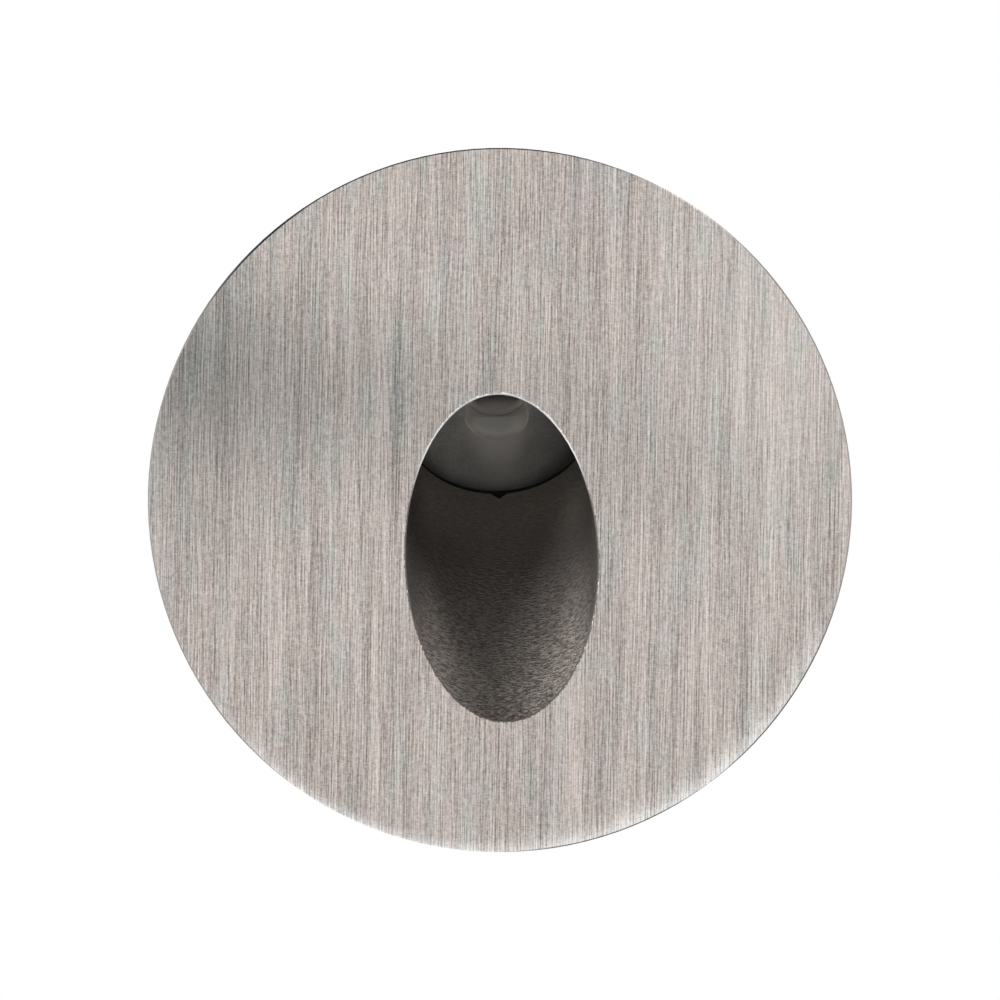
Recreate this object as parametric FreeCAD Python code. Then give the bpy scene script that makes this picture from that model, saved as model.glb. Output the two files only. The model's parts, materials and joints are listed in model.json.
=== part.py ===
import FreeCAD
import Part
import math
import os

Vector = FreeCAD.Vector

# A round step light for a cut-out in a wall. Sizes are in millimetres and angles in degrees.
# The wall's surface is the plane y = 0, +Y runs into the wall, +Z is up,
# and the origin is the middle of the cut-out.

# Face plate, with an upright elliptical opening
PLATE_DIAMETER = 70.0
PLATE_THICKNESS = 2.0
PLATE_CHAMFER = 0.15
OPENING_CHAMFER = 0.12

# Weld studs behind the plate, with their washers and nuts
STUD_DIAMETER = 3.0
STUD_PLACES = ((18.6, 5.0), (17.0, -13.0))  # x and z on the right, mirrored on the left
STUD_END = 1.5  # past the nut
STUD_HOLE_CLEARANCE = 0.15
STUD_WASHER_DIAMETER = 6.4
STUD_WASHER_THICKNESS = 0.6
STUD_NUT_WIDTH = 5.5
STUD_NUT_HEIGHT = 2.4

# Flat gasket between the plate and the wall
GASKET_THICKNESS = 1.0
GASKET_WIDTH = 2.2
GASKET_CLEARANCE = 0.15  # its hole passes over the collar

# Chute casting: a round bore that runs up and inward from the opening to the lens,
# and a flange that the plate's studs clamp to the back of the housing's front wall
CHUTE_DIAMETER = 19.1
CHUTE_ANGLE = 36.0  # between its axis and the plate
CHUTE_DROP = 5.75  # from the plate's centre down to the opening's centre
CHUTE_LENGTH = 17.2  # along its axis, from the plate's back to the lens seat
CHUTE_WALL = 1.8
CHUTE_HOLE_CLEARANCE = 0.3  # in the housing's front wall
CHUTE_FLANGE_THICKNESS = 1.8
CHUTE_FLANGE_CLEARANCE = 1.0  # inside the housing
NOTCH_WIDTH = 1.7  # at the lens seat
NOTCH_LENGTH = 0.6
NOTCH_DEPTH = 0.9

# Housing: front register, collar that fills the cut-out, barrel with a flat on each side
COLLAR_DIAMETER = 58.0
COLLAR_LENGTH = 9.0
REGISTER_STEP = 0.4
BARREL_STEP = 0.3
SHOULDER_LENGTH = 2.0
HOUSING_DEPTH = 45.0
HOUSING_WALL = 2.5
FRONT_WALL = 2.7
FLAT_DEPTH = 6.2
FLAT_WALL = 2.3
GROOVE_COUNT = 7
GROOVE_WIDTH = 1.8
GROOVE_DEPTH = 1.0
GROOVE_SPACING = 3.6
GROOVE_MARGIN = 3.0

# Lens and what is stacked behind it, square to the lens's axis
LENS_TILT = 40.0  # between the lens's face and the plate
LENS_LAND = 1.45  # from the chute's bore out to the lens's rim
LENS_FLANGE = 1.6
LENS_HEIGHT = 8.1
LENS_TAPER = 5.0  # from the cone's front radius to its back radius
LENS_RECESS_DIAMETER = 6.4
LENS_RECESS_DEPTH = 4.0
LED_RECESS_DIAMETER = 5.6
LED_RECESS_DEPTH = 2.2
LENS_SEAL_THICKNESS = 0.5
LENS_SEAL_SETBACK = 0.15
LENS_POCKET_CLEARANCE = 0.15
LENS_BOSS_WALL = 2.0
LENS_BOSS_HEIGHT = 4.0
HOLDER_WALL = 1.1
HOLDER_CLEARANCE = 0.4  # round the lens's cone
HOLDER_HEIGHT = 7.0
LED_BOARD_THICKNESS = 1.6
LED_BOARD_INSET = 0.4
LED_TAB_LENGTH = 3.4
LED_TAB_WIDTH = 8.0
LED_WIDTH = 3.5
LED_HEIGHT = 0.7
LED_DOME_DIAMETER = 2.8
PAD_THICKNESS = 0.4
PAD_INSET = 0.6
CARRIER_THICKNESS = 3.5
CARRIER_CLEARANCE = 0.3
CARRIER_EAR_HEIGHT = 6.4
CARRIER_EAR_ROOT = 1.5
CARRIER_SCREW_OFFSET = 4.8  # from the lens's rim, sideways
CARRIER_SCREW_RISE = 5.3  # above the middle of the lens seat
CARRIER_BOSS_DIAMETER = 6.0
BOARD_SCREW_INSET = 0.6  # from the holder's bore to the screw's head

# Driver board on three posts of the rear cover
DRIVER_POST_LENGTH = 11.5
DRIVER_POST_DIAMETER = 5.2
DRIVER_POST_INSET = 3.4
DRIVER_POST_ANGLES = (90.0, 210.0, 330.0)
DRIVER_BOARD_THICKNESS = 1.6
DRIVER_BOARD_CLEARANCE = 0.6
INDUCTOR_DIAMETER = 9.0
INDUCTOR_HEIGHT = 6.0
INDUCTOR_WAIST = 1.2
INDUCTOR_FLANGE = 1.2
INDUCTOR_ANGLE = 160.0
CAPACITOR_DIAMETER = 8.0
CAPACITOR_HEIGHT = 9.5
CAPACITOR_GROOVE = 0.4
CAPACITOR_GROOVE_HEIGHT = 1.6
CAPACITOR_ANGLE = 20.0
CHIP_SIZES = ((5.0, 4.0, 1.6), (6.0, 5.0, 2.2), (3.0, 1.6, 1.0))  # along x and z, then height
CHIP_PLACES = ((0.0, 6.5), (0.0, -2.0), (-8.0, -4.0))
TERMINAL_SIZE = (10.0, 7.6, 8.5)  # along x and z, then height
TERMINAL_PITCH = 5.0
TERMINAL_ENTRY_DIAMETER = 3.0
TERMINAL_ENTRY_HEIGHT = 2.8
TERMINAL_SCREW_LENGTH = 2.2
TERMINAL_WELL_DEPTH = 2.4
COMPONENT_CLEARANCE = 0.6  # from the gland's locknut

# Leads from the LED board to the driver board
LEAD_DIAMETER = 1.3
LEAD_SPACING = 4.4
LEAD_CLEARANCE = 0.05
LEAD_START = 0.6  # below the round part of the LED board
LEAD_STRAIGHT = 4.2  # along the tab
LEAD_ENTRY = 2.4  # square to the driver board
LEAD_PAD_HEIGHT = -0.7  # on the driver board

# Rear cover and its seal
COVER_THICKNESS = 3.0
COVER_CHAMFER = 0.8
COVER_SCREW_INSET = 2.9
COVER_SCREW_ANGLES = (90.0, 225.0, 315.0)
COVER_BOSS_DIAMETER = 6.0
COVER_BOSS_LENGTH = 14.0
SEAL_THICKNESS = 0.8
SEAL_INSET = 0.4

# Cable gland in the middle of the rear cover
CABLE_DIAMETER = 6.0
GLAND_SEAL_WALL = 1.4
GLAND_SEAL_LENGTH = 9.0
GLAND_SEAL_CLEARANCE = 0.1
GLAND_WALL = 1.5
GLAND_HOLE_CLEARANCE = 0.1
GLAND_WIDTH = 16.0
GLAND_HEX_HEIGHT = 5.0
GLAND_SPIGOT = 8.0
GLAND_WASHER_DIAMETER = 17.0
GLAND_WASHER_THICKNESS = 1.2
GLAND_THREAD_END = 1.0
LOCKNUT_HEIGHT = 4.5
GLAND_NUT_GAP = 0.6
GLAND_NUT_HEX = 7.0
GLAND_NUT_DOME = 5.0
GLAND_NUT_LIP = 0.9  # the nut's opening is wider than the cable by this much all round
GLAND_DOME_ROUND = 3.0

# Spring clips on the flats, whose tips point to the plate and stand out behind the wall panel
CLIP_OPEN_ANGLE = 16.0  # from the housing's axis
CLIP_LENGTH = 20.0
CLIP_WIDTH = 10.4
CLIP_THICKNESS = 1.0
CLIP_HOOK_RADIUS = 1.3
CLIP_CHEEK_LENGTH = 7.0
CLIP_SLOT_WIDTH = 3.4
CLIP_SLOT_LENGTH = 6.5
CLIP_SLOT_START = 9.0
CLIP_CLEARANCE = 0.3
CLIP_STOP_CLEARANCE = 0.1
CLIP_HEEL = 1.5
PIVOT_STANDOFF = 2.3
PIVOT_SETBACK = 23.0
PIN_DIAMETER = 2.0
PIN_CLEARANCE = 0.05
PIN_HEAD_DIAMETER = 3.2
PIN_HEAD_HEIGHT = 0.6
EAR_CLEARANCE = 0.4
EAR_THICKNESS = 1.6
EAR_WALL = 1.2
SPRING_WIRE = 0.7
SPRING_PLAY = 0.3
SPRING_WHOLE_TURNS = 4
SPRING_END_PLAY = 0.8
SPRING_BODY_LEG = 7.0
SPRING_ARM_LEG = 8.0
SPRING_LEAF_CLEARANCE = 0.05

# Machine screws: thread diameter, head diameter and head height
SCREW_SIZES = {
    "board": (2.0, 3.4, 1.3),
    "driver": (2.5, 4.5, 1.6),
    "cover": (3.0, 5.5, 2.0),
    "carrier": (3.0, 5.5, 2.0),
    "terminal": (2.5, 2.9, 1.2),
}
SCREW_CLEARANCE = 0.2
THREAD_CLEARANCE = 0.05
SCREW_BITE = 6.0
BOARD_SCREW_BITE = 2.6
SCREW_END_ROOM = 1.0
HEAD_ROUND = 0.45  # of the head's height
DRIVE_WIDTH = 0.16  # of the head's diameter, for each bar of the cross in it
DRIVE_LENGTH = 0.62
DRIVE_DEPTH = 0.5  # of the head's height

# A length that reaches past anything it has to cut or trim, and one that counts as touching
FAR = 200.0
TOUCH = 1e-6

# Places worked out from the sizes above
plate_radius = PLATE_DIAMETER / 2
plate_back = -GASKET_THICKNESS
plate_front = plate_back - PLATE_THICKNESS
collar_radius = COLLAR_DIAMETER / 2
register_radius = collar_radius - REGISTER_STEP
barrel_radius = collar_radius - BARREL_STEP
inner_radius = barrel_radius - HOUSING_WALL
flat_start = COLLAR_LENGTH + SHOULDER_LENGTH
flat_side = barrel_radius - FLAT_DEPTH
inner_side = flat_side - FLAT_WALL
front_wall_back = plate_back + FRONT_WALL
chute_radius = CHUTE_DIAMETER / 2
lining_radius = chute_radius + CHUTE_WALL
chute_flange_back = front_wall_back + CHUTE_FLANGE_THICKNESS
opening_height = chute_radius / math.sin(math.radians(CHUTE_ANGLE))
chute_direction = Vector(0, math.sin(math.radians(CHUTE_ANGLE)), math.cos(math.radians(CHUTE_ANGLE)))
chute_start = Vector(0, plate_back, -CHUTE_DROP)
lens_centre = chute_start + chute_direction * CHUTE_LENGTH
lens_inward = Vector(0, math.cos(math.radians(LENS_TILT)), math.sin(math.radians(LENS_TILT)))
lens_frame = FreeCAD.Placement(lens_centre, FreeCAD.Rotation(Vector(1, 0, 0), LENS_TILT - 90))
lens_radius = chute_radius + LENS_LAND
holder_bore = lens_radius - HOLDER_WALL
pocket_radius = lens_radius + LENS_POCKET_CLEARANCE
flange_back = LENS_SEAL_THICKNESS + LENS_FLANGE
led_board_front = flange_back + HOLDER_HEIGHT
pad_front = led_board_front + LED_BOARD_THICKNESS
carrier_front = pad_front + PAD_THICKNESS
carrier_back = carrier_front + CARRIER_THICKNESS
led_board_radius = lens_radius - LED_BOARD_INSET
carrier_screw_x = lens_radius + CARRIER_SCREW_OFFSET
carrier_screw_z = lens_centre.z + CARRIER_SCREW_RISE
carrier_middle = (carrier_front + carrier_back) / 2
ear_middle = lens_centre.y + (carrier_middle - CARRIER_SCREW_RISE * lens_inward.z) / lens_inward.y
ear_front = ear_middle - CARRIER_THICKNESS / 2
ear_back = ear_middle + CARRIER_THICKNESS / 2
cover_front = HOUSING_DEPTH + SEAL_THICKNESS
cover_back = cover_front + COVER_THICKNESS
cover_screw_circle = inner_radius - COVER_SCREW_INSET
driver_back = cover_front - DRIVER_POST_LENGTH
driver_front = driver_back - DRIVER_BOARD_THICKNESS
driver_radius = min(inner_side, cover_screw_circle - COVER_BOSS_DIAMETER / 2) - DRIVER_BOARD_CLEARANCE
gland_seal_radius = CABLE_DIAMETER / 2 + GLAND_SEAL_WALL
gland_bore_radius = gland_seal_radius + GLAND_SEAL_CLEARANCE
gland_thread_radius = gland_bore_radius + GLAND_WALL
gland_hole_radius = gland_thread_radius + GLAND_HOLE_CLEARANCE
locknut_reach = GLAND_WIDTH / math.sqrt(3) + COMPONENT_CLEARANCE
gland_hex_front = cover_back + GLAND_WASHER_THICKNESS
gland_hex_back = gland_hex_front + GLAND_HEX_HEIGHT
gland_spigot_end = gland_hex_back + GLAND_SPIGOT
gland_nut_front = gland_hex_back + GLAND_NUT_GAP
gland_nut_shoulder = gland_nut_front + GLAND_NUT_HEX
gland_nut_back = gland_nut_shoulder + GLAND_NUT_DOME
pivot = Vector(flat_side + PIVOT_STANDOFF, flat_start + PIVOT_SETBACK, 0)
cheek_radius = PIVOT_STANDOFF - CLIP_CLEARANCE
clip_half_width = CLIP_WIDTH / 2
cheek_inside = clip_half_width - CLIP_THICKNESS
ear_inside = clip_half_width + EAR_CLEARANCE
ear_outside = ear_inside + EAR_THICKNESS
pin_radius = PIN_DIAMETER / 2
pin_hole_radius = pin_radius + PIN_CLEARANCE
wire_radius = SPRING_WIRE / 2
coil_radius = pin_radius + SPRING_PLAY + wire_radius
leaf_inside = coil_radius + wire_radius + SPRING_LEAF_CLEARANCE
leaf_outside = leaf_inside + CLIP_THICKNESS


# Basic solids


def along_y(radius, start, end, x=0.0, z=0.0):
    """A cylinder that runs along Y from start to end."""
    return Part.makeCylinder(radius, end - start, Vector(x, start, z), Vector(0, 1, 0))


def tube_along_y(outer, inner, start, end, x=0.0, z=0.0):
    return along_y(outer, start, end, x, z).cut(along_y(inner, start, end, x, z))


def block(low, high):
    """A box between two corners."""
    size = Vector(*high) - Vector(*low)
    return Part.makeBox(size.x, size.y, size.z, Vector(*low))


def flatted_disc(radius, half_width, start, end):
    """A disc along Y whose left and right sides are cut flat."""
    sides = block((-half_width, start, -FAR), (half_width, end, FAR))
    return along_y(radius, start, end).common(sides)


def hexagon_along_y(width, start, end, x=0.0, z=0.0):
    """A hexagonal bar along Y, given its width across flats."""
    corner = width / math.sqrt(3)
    points = []
    for step in range(7):
        angle = math.radians(60 * step)
        points.append(Vector(x + corner * math.cos(angle), start, z + corner * math.sin(angle)))
    return Part.Face(Part.makePolygon(points)).extrude(Vector(0, end - start, 0))


def on_circle(radius, angle):
    """x and z of a point on a circle round the Y axis, with the angle from +X towards +Z."""
    return radius * math.cos(math.radians(angle)), radius * math.sin(math.radians(angle))


def mirrored(shape):
    """The same piece on the other side of the plane x = 0."""
    return shape.mirror(Vector(0, 0, 0), Vector(1, 0, 0))


def on_both_sides(shape):
    return [shape, mirrored(shape)]


def on_lens_axis(shape):
    """Carries a shape from the lens's own frame, in which +Z runs inward from the seat, to its place."""
    placed = shape.copy()
    placed.Placement = lens_frame.multiply(placed.Placement)
    return placed


def elliptical_bar(centre, half_width, half_height, length):
    """A bar along Y with an upright elliptical section, from a centre at its front."""
    top = centre + Vector(0, 0, half_height)
    side = centre + Vector(half_width, 0, 0)
    rim = Part.Ellipse(top, side, centre)
    return Part.Face(Part.Wire(rim.toShape())).extrude(Vector(0, length, 0))


def behind(depth):
    """All the space further into the wall than a depth."""
    return block((-FAR, depth, -FAR), (FAR, depth + FAR, FAR))


def lens_disc(radius, start, end):
    """A disc on the lens's axis, between two depths behind the seat."""
    return on_lens_axis(Part.makeCylinder(radius, end - start, Vector(0, 0, start)))


def in_front_of_seat():
    """All the space on the chute's side of the lens seat."""
    return on_lens_axis(Part.makeBox(2 * FAR, 2 * FAR, FAR, Vector(-FAR, -FAR, -FAR)))


def chute_cylinder(radius):
    """A long cylinder on the chute's axis."""
    return Part.makeCylinder(radius, FAR, chute_start - chute_direction * (FAR / 2), chute_direction)


def screw(kind, length):
    """A pan-head screw with its head's underside at the origin and its head towards +Z."""
    diameter, head_diameter, head_height = SCREW_SIZES[kind]
    head = Part.makeCylinder(head_diameter / 2, head_height)
    rim = [edge for edge in head.Edges if abs(edge.BoundBox.ZMin - head_height) < TOUCH]
    head = head.makeFillet(head_height * HEAD_ROUND, rim)
    half_length = head_diameter * DRIVE_LENGTH / 2
    half_width = head_diameter * DRIVE_WIDTH / 2
    bottom = head_height * (1 - DRIVE_DEPTH)
    cross = block((-half_length, -half_width, bottom), (half_length, half_width, head_height))
    other = block((-half_width, -half_length, bottom), (half_width, half_length, head_height))
    shaft = Part.makeCylinder(diameter / 2, length, Vector(0, 0, -length))
    return head.fuse(shaft).cut([cross, other]).removeSplitter()


def aimed(shape, place, direction):
    """Turns a shape's +Z to a direction and moves its origin to a place."""
    turned = shape.copy()
    turned.Placement = FreeCAD.Placement(place, FreeCAD.Rotation(Vector(0, 0, 1), direction))
    return turned


def screw_hole(kind, clearance):
    return SCREW_SIZES[kind][0] / 2 + clearance


# Face plate and its fixings


def stud_places():
    return [(side * x, z) for x, z in STUD_PLACES for side in (1, -1)]


def face_plate():
    disc = along_y(plate_radius, plate_front, plate_back)
    centre = Vector(0, plate_front, -CHUTE_DROP)
    plate = disc.cut(elliptical_bar(centre, chute_radius, opening_height, PLATE_THICKNESS))
    front = [edge for edge in plate.Edges if edge.BoundBox.YMax < plate_front + TOUCH]
    outer = [edge for edge in front if edge.BoundBox.XLength > CHUTE_DIAMETER + 1]
    plate = plate.makeChamfer(PLATE_CHAMFER, outer)
    front = [edge for edge in plate.Edges if edge.BoundBox.YMax < plate_front + TOUCH]
    inner = [edge for edge in front if edge.BoundBox.XLength < CHUTE_DIAMETER + 1]
    return plate.makeChamfer(OPENING_CHAMFER, inner)


def stud_stack():
    """Depths behind the plate: washer, nut and the stud's end."""
    washer_back = chute_flange_back + STUD_WASHER_THICKNESS
    nut_back = washer_back + STUD_NUT_HEIGHT
    return washer_back, nut_back, nut_back + STUD_END


def face_studs():
    end = stud_stack()[2]
    return Part.makeCompound([along_y(STUD_DIAMETER / 2, plate_back, end, x, z) for x, z in stud_places()])


def stud_washers():
    back = stud_stack()[0]
    hole = STUD_DIAMETER / 2 + STUD_HOLE_CLEARANCE
    outer = STUD_WASHER_DIAMETER / 2
    washers = [tube_along_y(outer, hole, chute_flange_back, back, x, z) for x, z in stud_places()]
    return Part.makeCompound(washers)


def stud_nuts():
    front, back, _ = stud_stack()
    hole = STUD_DIAMETER / 2 + THREAD_CLEARANCE
    nuts = []
    for x, z in stud_places():
        nuts.append(hexagon_along_y(STUD_NUT_WIDTH, front, back, x, z).cut(along_y(hole, front, back, x, z)))
    return Part.makeCompound(nuts)


def wall_gasket():
    hole = collar_radius + GASKET_CLEARANCE
    return tube_along_y(hole + GASKET_WIDTH, hole, plate_back, 0)


# Housing


def housing_envelope():
    """The housing's outside, as if it were solid."""
    register = along_y(register_radius, plate_back, 0)
    collar = along_y(collar_radius, 0, COLLAR_LENGTH)
    shoulder = along_y(barrel_radius, COLLAR_LENGTH, flat_start)
    barrel = flatted_disc(barrel_radius, flat_side, flat_start, HOUSING_DEPTH)
    return register.fuse([collar, shoulder, barrel]).removeSplitter()


def housing_cavity():
    """The room inside the housing, open at its rear rim."""
    flat_room = flatted_disc(inner_radius, inner_side, flat_start - FLAT_WALL, HOUSING_DEPTH)
    return along_y(inner_radius, front_wall_back, flat_start - FLAT_WALL).fuse(flat_room)


def chute_passage():
    """The straight hole in the front wall that the slanted chute goes in through."""
    climb = FRONT_WALL / math.tan(math.radians(CHUTE_ANGLE))
    centre = chute_start + Vector(0, 0, climb / 2)
    half_width = lining_radius + CHUTE_HOLE_CLEARANCE
    half_height = lining_radius / math.sin(math.radians(CHUTE_ANGLE)) + climb / 2 + CHUTE_HOLE_CLEARANCE
    return elliptical_bar(centre, half_width, half_height, FRONT_WALL)


def cooling_grooves():
    """Shallow grooves along the barrel, above and below."""
    start = flat_start + GROOVE_MARGIN
    end = HOUSING_DEPTH - GROOVE_MARGIN
    grooves = []
    for index in range(GROOVE_COUNT):
        x = (index - (GROOVE_COUNT - 1) / 2) * GROOVE_SPACING
        surface = math.sqrt(barrel_radius ** 2 - x ** 2)
        low = (x - GROOVE_WIDTH / 2, start, surface - GROOVE_DEPTH)
        high = (x + GROOVE_WIDTH / 2, end, surface + 2 * GROOVE_DEPTH)
        groove = block(low, high)
        grooves.append(groove)
        grooves.append(groove.mirror(Vector(0, 0, 0), Vector(0, 0, 1)))
    return grooves


def clip_ears():
    """The two lugs on the right flat that hold the clip's pin."""
    radius = pin_hole_radius + EAR_WALL
    lugs = []
    for bottom in (ear_inside, -ear_outside):
        low = (flat_side, pivot.y - radius, bottom)
        high = (pivot.x, pivot.y + radius, bottom + EAR_THICKNESS)
        knuckle = Part.makeCylinder(radius, EAR_THICKNESS, Vector(pivot.x, pivot.y, bottom))
        hole = Part.makeCylinder(pin_hole_radius, EAR_THICKNESS, Vector(pivot.x, pivot.y, bottom))
        lugs.append(block(low, high).fuse(knuckle).cut(hole))
    return lugs


def stud_holes(start, end):
    hole = STUD_DIAMETER / 2 + STUD_HOLE_CLEARANCE
    return [along_y(hole, start, end, x, z) for x, z in stud_places()]


def housing():
    envelope = housing_envelope()
    shell = envelope.cut(housing_cavity())
    additions = []
    holes = [chute_passage()] + stud_holes(plate_back, front_wall_back)
    for angle in COVER_SCREW_ANGLES:
        x, z = on_circle(cover_screw_circle, angle)
        post = along_y(COVER_BOSS_DIAMETER / 2, HOUSING_DEPTH - COVER_BOSS_LENGTH, HOUSING_DEPTH, x, z)
        additions.append(post.common(envelope))
        tapped = screw_hole("cover", THREAD_CLEARANCE)
        holes.append(along_y(tapped, HOUSING_DEPTH - SCREW_BITE - SCREW_END_ROOM, HOUSING_DEPTH, x, z))
    for ear in clip_ears():
        additions.extend(on_both_sides(ear))
    return shell.fuse(additions).cut(holes + cooling_grooves()).removeSplitter()


# Chute


def chute_notch():
    """A small V cut in the chute's lowest line, from a point in front of the lens seat to twice as far."""
    outward = Vector(0, chute_direction.z, -chute_direction.y)
    lean = math.radians(90 - CHUTE_ANGLE - LENS_TILT)
    reach = CHUTE_LENGTH - chute_radius * math.tan(lean)
    point = chute_start + chute_direction * (reach - NOTCH_LENGTH) + outward * (chute_radius - NOTCH_DEPTH)
    end = point + chute_direction * 2 * NOTCH_LENGTH
    side = Vector(NOTCH_WIDTH, 0, 0)
    corners = [end - side, end + side, point]
    return Part.Face(Part.makePolygon(corners, True)).extrude(outward * 2 * NOTCH_DEPTH)


def light_chute():
    """The slanted chute with its flange, the lens's pocket and two bosses for the LED carrier."""
    flange = along_y(inner_radius - CHUTE_FLANGE_CLEARANCE, front_wall_back, chute_flange_back)
    lining = chute_cylinder(lining_radius).common(in_front_of_seat()).common(behind(plate_back))
    boss = lens_disc(pocket_radius + LENS_BOSS_WALL, -LENS_BOSS_HEIGHT, LENS_BOSS_HEIGHT)
    additions = [lining, boss.common(behind(front_wall_back))]
    holes = [chute_cylinder(chute_radius).common(in_front_of_seat())]
    holes.append(lens_disc(pocket_radius, 0, LENS_BOSS_HEIGHT))
    holes.append(chute_notch())
    holes.extend(stud_holes(front_wall_back, chute_flange_back))
    tapped = screw_hole("carrier", THREAD_CLEARANCE)
    for side in (1, -1):
        x = side * carrier_screw_x
        additions.append(along_y(CARRIER_BOSS_DIAMETER / 2, front_wall_back, ear_front, x, carrier_screw_z))
        holes.append(along_y(tapped, ear_front - SCREW_BITE - SCREW_END_ROOM, ear_front, x, carrier_screw_z))
    return flange.fuse(additions).cut(holes).removeSplitter()


# Lens and light engine


def lens_seal():
    ring = lens_disc(lens_radius, 0, LENS_SEAL_THICKNESS)
    return ring.cut(chute_cylinder(chute_radius + LENS_SEAL_SETBACK))


def lens():
    """A flanged collimating optic: a cone with a round recess in its face and another over the LED."""
    front = LENS_SEAL_THICKNESS
    back = front + LENS_HEIGHT
    flange = Part.makeCylinder(lens_radius, LENS_FLANGE, Vector(0, 0, front))
    shoulder = holder_bore - HOLDER_CLEARANCE
    cone = Part.makeCone(shoulder, shoulder - LENS_TAPER, back - flange_back, Vector(0, 0, flange_back))
    face_recess = Part.makeCylinder(LENS_RECESS_DIAMETER / 2, LENS_RECESS_DEPTH, Vector(0, 0, front))
    led_place = Vector(0, 0, back - LED_RECESS_DEPTH)
    led_recess = Part.makeCylinder(LED_RECESS_DIAMETER / 2, LED_RECESS_DEPTH, led_place)
    return on_lens_axis(flange.fuse(cone).cut([face_recess, led_recess]))


def lens_holder():
    outer = lens_disc(lens_radius, flange_back, led_board_front)
    return outer.cut(lens_disc(holder_bore, flange_back, led_board_front))


def led_emitter():
    half = LED_WIDTH / 2
    face = led_board_front - LED_HEIGHT
    base = block((-half, -half, face), (half, half, led_board_front))
    ball = Part.makeSphere(LED_DOME_DIAMETER / 2, Vector(0, 0, face))
    dome = ball.common(block((-half, -half, face - LED_DOME_DIAMETER), (half, half, face)))
    return on_lens_axis(base.fuse(dome))


def board_screw_places():
    out = holder_bore - SCREW_SIZES["board"][1] / 2 - BOARD_SCREW_INSET
    return [Vector(side * out, 0, led_board_front) for side in (1, -1)]


def board_screw_holes(clearance, start, end):
    radius = screw_hole("board", clearance)
    return [Part.makeCylinder(radius, end - start, Vector(p.x, p.y, start)) for p in board_screw_places()]


def led_board():
    """A round metal-core board with a tab below it for the leads."""
    disc = Part.makeCylinder(led_board_radius, LED_BOARD_THICKNESS, Vector(0, 0, led_board_front))
    half = LED_TAB_WIDTH / 2
    tab = block((-half, 0, led_board_front), (half, led_board_radius + LED_TAB_LENGTH, pad_front))
    return on_lens_axis(disc.fuse(tab).removeSplitter().cut(
        board_screw_holes(SCREW_CLEARANCE, led_board_front, pad_front)))


def board_screws():
    body = screw("board", LED_BOARD_THICKNESS + PAD_THICKNESS + BOARD_SCREW_BITE)
    placed = [on_lens_axis(aimed(body, place, Vector(0, 0, -1))) for place in board_screw_places()]
    return Part.makeCompound(placed)


def thermal_pad():
    disc = Part.makeCylinder(led_board_radius - PAD_INSET, PAD_THICKNESS, Vector(0, 0, pad_front))
    return on_lens_axis(disc.cut(board_screw_holes(SCREW_CLEARANCE, pad_front, carrier_front)))


def led_carrier():
    """The metal plate behind the board, with an ear on each side that screws to a boss of the chute."""
    plate = lens_disc(lens_radius, carrier_front, carrier_back)
    half = CARRIER_EAR_HEIGHT / 2
    root = lens_radius - CARRIER_EAR_ROOT
    tip = carrier_screw_x + half
    low = (root, ear_front, carrier_screw_z - half)
    ear = block(low, (tip, ear_back, carrier_screw_z + half))
    tall_room = lens_disc(lens_radius + CARRIER_CLEARANCE, 0, carrier_front)
    room = flatted_disc(inner_radius - CARRIER_CLEARANCE, inner_side - CARRIER_CLEARANCE, 0, HOUSING_DEPTH)
    body = plate.fuse(on_both_sides(ear)).cut(tall_room).common(room)
    for side in (1, -1):
        clear = screw_hole("carrier", SCREW_CLEARANCE)
        body = body.cut(along_y(clear, ear_front, ear_back, side * carrier_screw_x, carrier_screw_z))
    tapped = board_screw_holes(THREAD_CLEARANCE, carrier_front, carrier_back)
    return body.cut([on_lens_axis(hole) for hole in tapped]).removeSplitter()


def carrier_screws():
    body = screw("carrier", CARRIER_THICKNESS + SCREW_BITE)
    places = [Vector(side * carrier_screw_x, ear_back, carrier_screw_z) for side in (1, -1)]
    return Part.makeCompound([aimed(body, place, Vector(0, 1, 0)) for place in places])


# Leads


def rounded_path(points):
    """Straight runs joined by tangent arcs, each as large as its two runs allow, and the arcs' radii."""
    edges = []
    radii = []
    start = points[0]
    for before, corner, after in zip(points, points[1:], points[2:]):
        into = (corner - before).normalize()
        out = (after - corner).normalize()
        setback = 0.45 * min(before.distanceToPoint(corner), corner.distanceToPoint(after))
        turn = into.getAngle(out)
        radius = setback / math.tan(turn / 2)
        arc_start = corner - into * setback
        arc_end = corner + out * setback
        inward = (out - into).normalize()
        middle = corner + inward * (radius / math.cos(turn / 2) - radius)
        edges.append(Part.LineSegment(start, arc_start).toShape())
        edges.append(Part.Arc(arc_start, middle, arc_end).toShape())
        radii.append(radius)
        start = arc_end
    edges.append(Part.LineSegment(start, points[-1]).toShape())
    return Part.Wire(edges), radii


def round_wire(path, radius):
    """A solid of round section along a path."""
    first = path.Edges[0]
    start = first.valueAt(first.FirstParameter)
    section = Part.Wire(Part.Circle(start, first.tangentAt(first.FirstParameter), radius).toShape())
    return path.makePipeShell([section], True, False)


def led_lead(side):
    """One lead, from the face of the LED board's tab, along the tab and back to the driver board."""
    x = side * LEAD_SPACING / 2
    depth = led_board_front - LEAD_DIAMETER / 2 - LEAD_CLEARANCE
    first = led_board_radius + LEAD_START
    start = lens_frame.multVec(Vector(x, first, depth))
    leaving = lens_frame.multVec(Vector(x, first + LEAD_STRAIGHT, depth))
    end = Vector(x, driver_front, LEAD_PAD_HEIGHT)
    arriving = end - Vector(0, LEAD_ENTRY, 0)
    path, radii = rounded_path([start, leaving, arriving, end])
    lead = round_wire(path, LEAD_DIAMETER / 2)
    plain_volume = math.pi * LEAD_DIAMETER ** 2 / 4 * path.Length
    print("lead radii", [round(radius, 2) for radius in radii])
    print("lead volume over section times length", round(lead.Volume / plain_volume, 4))
    return lead


# Driver


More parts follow.
